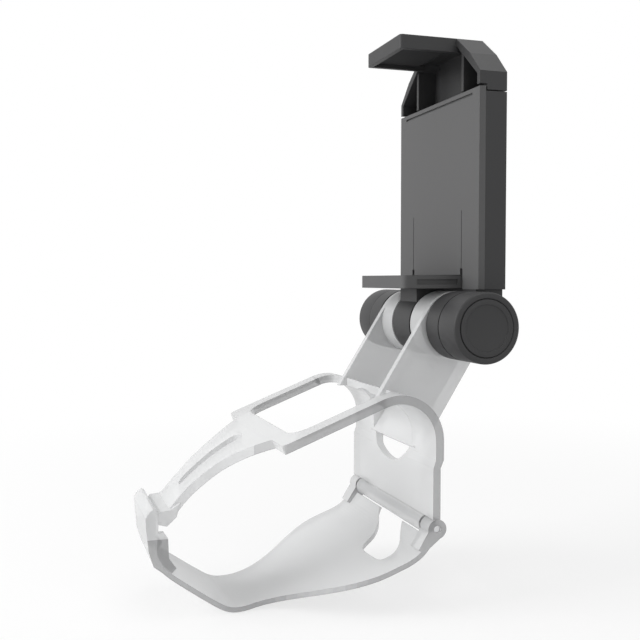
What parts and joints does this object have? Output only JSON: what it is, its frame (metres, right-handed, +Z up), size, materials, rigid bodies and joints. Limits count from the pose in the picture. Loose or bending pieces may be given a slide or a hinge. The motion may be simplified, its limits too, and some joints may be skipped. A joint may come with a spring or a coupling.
{
  "type": "controller phone clip",
  "caption": "Clear bracket that wraps a game controller, with a sprung phone holder on a friction hinge above it.",
  "frame": {"origin": "middle of the back plate's inner face, which rests on the controller's back", "axes": "+X along the hinge barrel, -Y towards the player, +Z up"},
  "size_m": [0.0672, 0.0915, 0.149],
  "materials": {
    "clear_plastic": "frosted clear",
    "black_plastic": "matt",
    "grey_plastic": "fine matt",
    "soft_rubber": "soft",
    "bright_steel": "bright"
  },
  "bodies": {
    "bracket": {"upper_bracket": "clear_plastic", "strap_hinge_pin": "bright_steel"},
    "strap": {"lower_strap": "clear_plastic"},
    "holder": {"holder_shell": "black_plastic", "front_panel": "grey_plastic", "lower_jaw": "grey_plastic", "lower_jaw_pad": "soft_rubber", "guide_rod_left": "bright_steel", "guide_rod_right": "bright_steel", "jaw_spring_left": "bright_steel", "jaw_spring_right": "bright_steel", "housing_screws": "bright_steel", "hinge_bolt": "bright_steel", "hinge_nut": "bright_steel", "spring_washer": "bright_steel", "friction_washers": "soft_rubber", "end_cap_left": "black_plastic", "end_cap_right": "black_plastic", "cap_disc_left": "black_plastic", "cap_disc_right": "black_plastic"},
    "jaw": {"top_jaw": "black_plastic", "top_jaw_pad": "soft_rubber"}
  },
  "joints": [
    {"name": "holder_tilt", "type": "hinge", "parent": "bracket", "child": "holder", "pos_m": [0, 0.0124, 0.044], "axis": [1, 0, 0], "range_deg": [-80, 55]},
    {"name": "jaw_slide", "type": "slide", "parent": "holder", "child": "jaw", "axis": [0, 0, 1], "range_m": [0, 0.03], "stiffness_N_per_m": 300, "springref_m": -0.02, "deforming": ["jaw_spring_left", "jaw_spring_right"]},
    {"name": "strap_hinge", "type": "hinge", "parent": "bracket", "child": "strap", "pos_m": [0, 0.0012, -0.0069], "axis": [1, 0, 0], "range_deg": [0, 100]}
  ]
}
